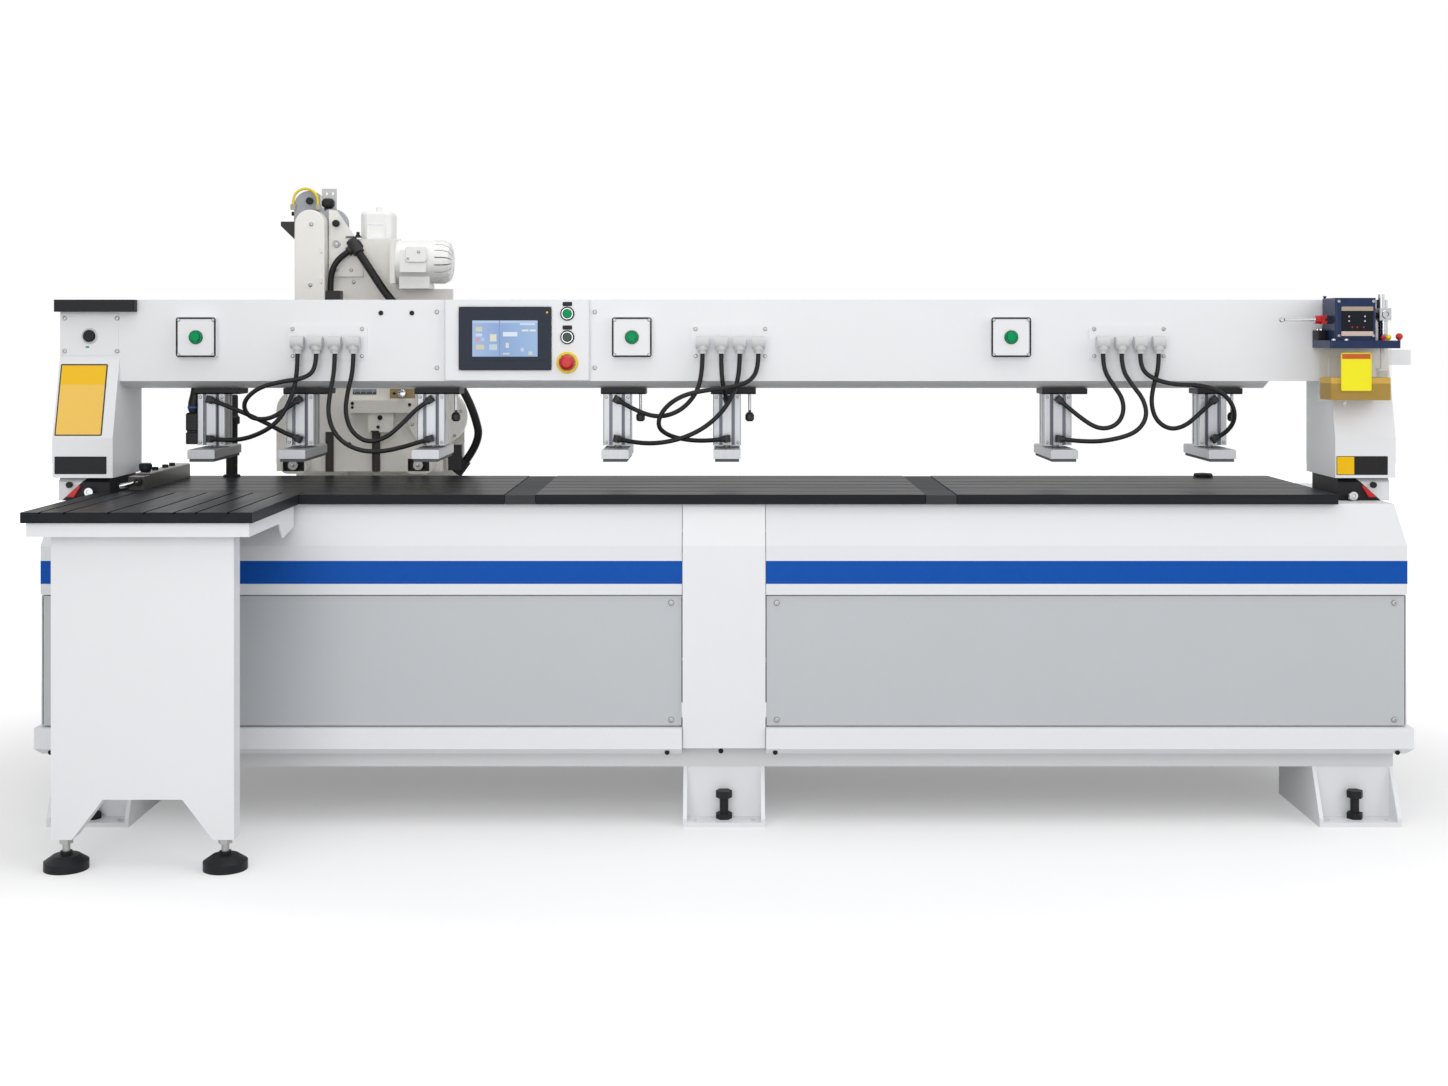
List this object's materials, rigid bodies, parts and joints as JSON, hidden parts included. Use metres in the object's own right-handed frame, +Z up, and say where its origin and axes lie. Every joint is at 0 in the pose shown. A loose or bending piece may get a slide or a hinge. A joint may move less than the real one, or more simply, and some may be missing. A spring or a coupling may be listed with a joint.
{
  "type": "side hole drilling machine",
  "caption": "Long floor machine that clamps a furniture board on a black table under a bridge and drills its rear edge with a travelling head.",
  "frame": {"origin": "on the floor, at the centre of the floor anchor holes", "axes": "+X along the table to the operator's right, +Y from the operator to the drilling head, +Z up"},
  "size_m": [3.594, 1.418, 1.6937],
  "materials": {
    "white_paint": "smooth powder coat",
    "grey_paint": "powder coat",
    "black_steel": "satin black",
    "table_black": "satin, lightly worn",
    "black_plastic": "satin",
    "zinc_steel": "ground",
    "dark_fence": "satin black",
    "aluminium": "anodised",
    "pad_rubber": "matt",
    "hose_rubber": "matt",
    "fitting_plastic": "moulded",
    "screen": "moulded",
    "green_button": "moulded",
    "red_button": "moulded",
    "switch_plastic": "moulded",
    "navy_enamel": "gloss enamel",
    "clear_tank": "clear moulding",
    "lever_chrome": "polished",
    "brass": "machined",
    "cream_enamel": "enamel"
  },
  "bodies": {
    "machine": {"base_frame": "white_paint", "foot_brackets": "white_paint", "foot_bolts": "black_steel", "upper_hoods": "white_paint", "grey_panels": "grey_paint", "centre_post": "white_paint", "lower_skirt": "white_paint", "body_covers": "white_paint", "table_plates": "table_black", "extension_frame": "white_paint", "extension_top": "table_black", "extension_leg": "white_paint", "levelling_studs": "zinc_steel", "levelling_pads": "black_plastic", "stop_fence": "dark_fence", "columns": "white_paint", "column_bases": "black_steel", "column_cap": "black_plastic", "beam": "white_paint", "clamp_rail": "grey_paint", "button_boxes": "white_paint", "operator_panel": "white_paint", "touch_screen": "screen", "gland_plates": "white_paint", "elbow_fittings": "fitting_plastic", "clamp_mounts": "black_steel", "clamp_barrels": "aluminium", "clamp_screws": "black_plastic", "hoses_left": "hose_rubber", "hoses_middle": "hose_rubber", "hoses_right": "hose_rubber", "pump_housing": "navy_enamel", "pump_reservoir": "clear_tank", "pump_fittings": "brass", "rear_rails": "zinc_steel", "drive_screw": "zinc_steel"},
    "carriage": {"head_carriage": "cream_enamel", "lift_motor": "cream_enamel"},
    "lift_slide": {"head_slide": "cream_enamel", "belt_cover": "cream_enamel", "drive_motor": "cream_enamel", "head_hoses": "hose_rubber"},
    "feed_unit": {"spindle_unit": "cream_enamel"},
    "left_spindle": {"spindle_left": "zinc_steel"},
    "right_spindle": {"spindle_right": "zinc_steel"},
    "left_clamps": {"clamp_feet_left": "aluminium", "clamp_pads_left": "pad_rubber"},
    "middle_clamps": {"clamp_feet_middle": "aluminium", "clamp_pads_middle": "pad_rubber"},
    "right_clamps": {"clamp_feet_right": "aluminium", "clamp_pads_right": "pad_rubber"},
    "left_clamp_button": {"clamp_button_left": "green_button"},
    "middle_clamp_button": {"clamp_button_middle": "green_button"},
    "right_clamp_button": {"clamp_button_right": "green_button"},
    "power_switch": {"power_button": "switch_plastic"},
    "start_switch": {"start_button": "green_button"},
    "stop_switch": {"stop_button": "green_button"},
    "emergency_switch": {"emergency_button": "red_button"},
    "fence_knob": {"stop_knob": "black_plastic"},
    "pump_lever": {"pump_handle": "lever_chrome"}
  },
  "joints": [
    {"name": "head_along_table", "type": "slide", "parent": "machine", "child": "carriage", "axis": [1, 0, 0], "range_m": [-0.2, 2.35]},
    {"name": "head_lift", "type": "slide", "parent": "carriage", "child": "lift_slide", "axis": [0, 0, 1], "range_m": [0, 0.05]},
    {"name": "spindle_feed", "type": "slide", "parent": "lift_slide", "child": "feed_unit", "axis": [0, -1, 0], "range_m": [0, 0.06]},
    {"name": "left_spindle_turn", "type": "hinge", "parent": "feed_unit", "child": "left_spindle", "pos_m": [-1.2565, 0.2, 0.873], "axis": [0, 1, 0], "continuous": true},
    {"name": "right_spindle_turn", "type": "hinge", "parent": "feed_unit", "child": "right_spindle", "pos_m": [-0.8915, 0.2, 0.873], "axis": [0, 1, 0], "continuous": true},
    {"name": "left_clamp_press", "type": "slide", "parent": "machine", "child": "left_clamps", "axis": [0, 0, -1], "range_m": [0, 0.07]},
    {"name": "middle_clamp_press", "type": "slide", "parent": "machine", "child": "middle_clamps", "axis": [0, 0, -1], "range_m": [0, 0.07]},
    {"name": "right_clamp_press", "type": "slide", "parent": "machine", "child": "right_clamps", "axis": [0, 0, -1], "range_m": [0, 0.07]},
    {"name": "left_clamp_push", "type": "slide", "parent": "machine", "child": "left_clamp_button", "axis": [0, 1, 0], "range_m": [0, 0.004], "stiffness_N_per_m": 400, "springref_m": -0.002},
    {"name": "middle_clamp_push", "type": "slide", "parent": "machine", "child": "middle_clamp_button", "axis": [0, 1, 0], "range_m": [0, 0.004], "stiffness_N_per_m": 400, "springref_m": -0.002},
    {"name": "right_clamp_push", "type": "slide", "parent": "machine", "child": "right_clamp_button", "axis": [0, 1, 0], "range_m": [0, 0.004], "stiffness_N_per_m": 400, "springref_m": -0.002},
    {"name": "power_push", "type": "slide", "parent": "machine", "child": "power_switch", "axis": [0, 1, 0], "range_m": [0, 0.004], "stiffness_N_per_m": 400, "springref_m": -0.002},
    {"name": "start_push", "type": "slide", "parent": "machine", "child": "start_switch", "axis": [0, 1, 0], "range_m": [0, 0.004], "stiffness_N_per_m": 400, "springref_m": -0.002},
    {"name": "stop_push", "type": "slide", "parent": "machine", "child": "stop_switch", "axis": [0, 1, 0], "range_m": [0, 0.004], "stiffness_N_per_m": 400, "springref_m": -0.002},
    {"name": "emergency_push", "type": "slide", "parent": "machine", "child": "emergency_switch", "axis": [0, 1, 0], "range_m": [0, 0.004], "stiffness_N_per_m": 400, "springref_m": -0.002},
    {"name": "knob_turn", "type": "hinge", "parent": "machine", "child": "fence_knob", "pos_m": [-1.553, -0.25, 0.89], "axis": [0, 0, 1], "continuous": true},
    {"name": "lever_swing", "type": "hinge", "parent": "machine", "child": "pump_lever", "pos_m": [1.567, -0.384, 1.294], "axis": [0, 1, 0], "range_deg": [-30, 20]}
  ],
  "couplings": [
    {"joint": "right_spindle_turn", "follows": "left_spindle_turn", "ratio": 1}
  ]
}
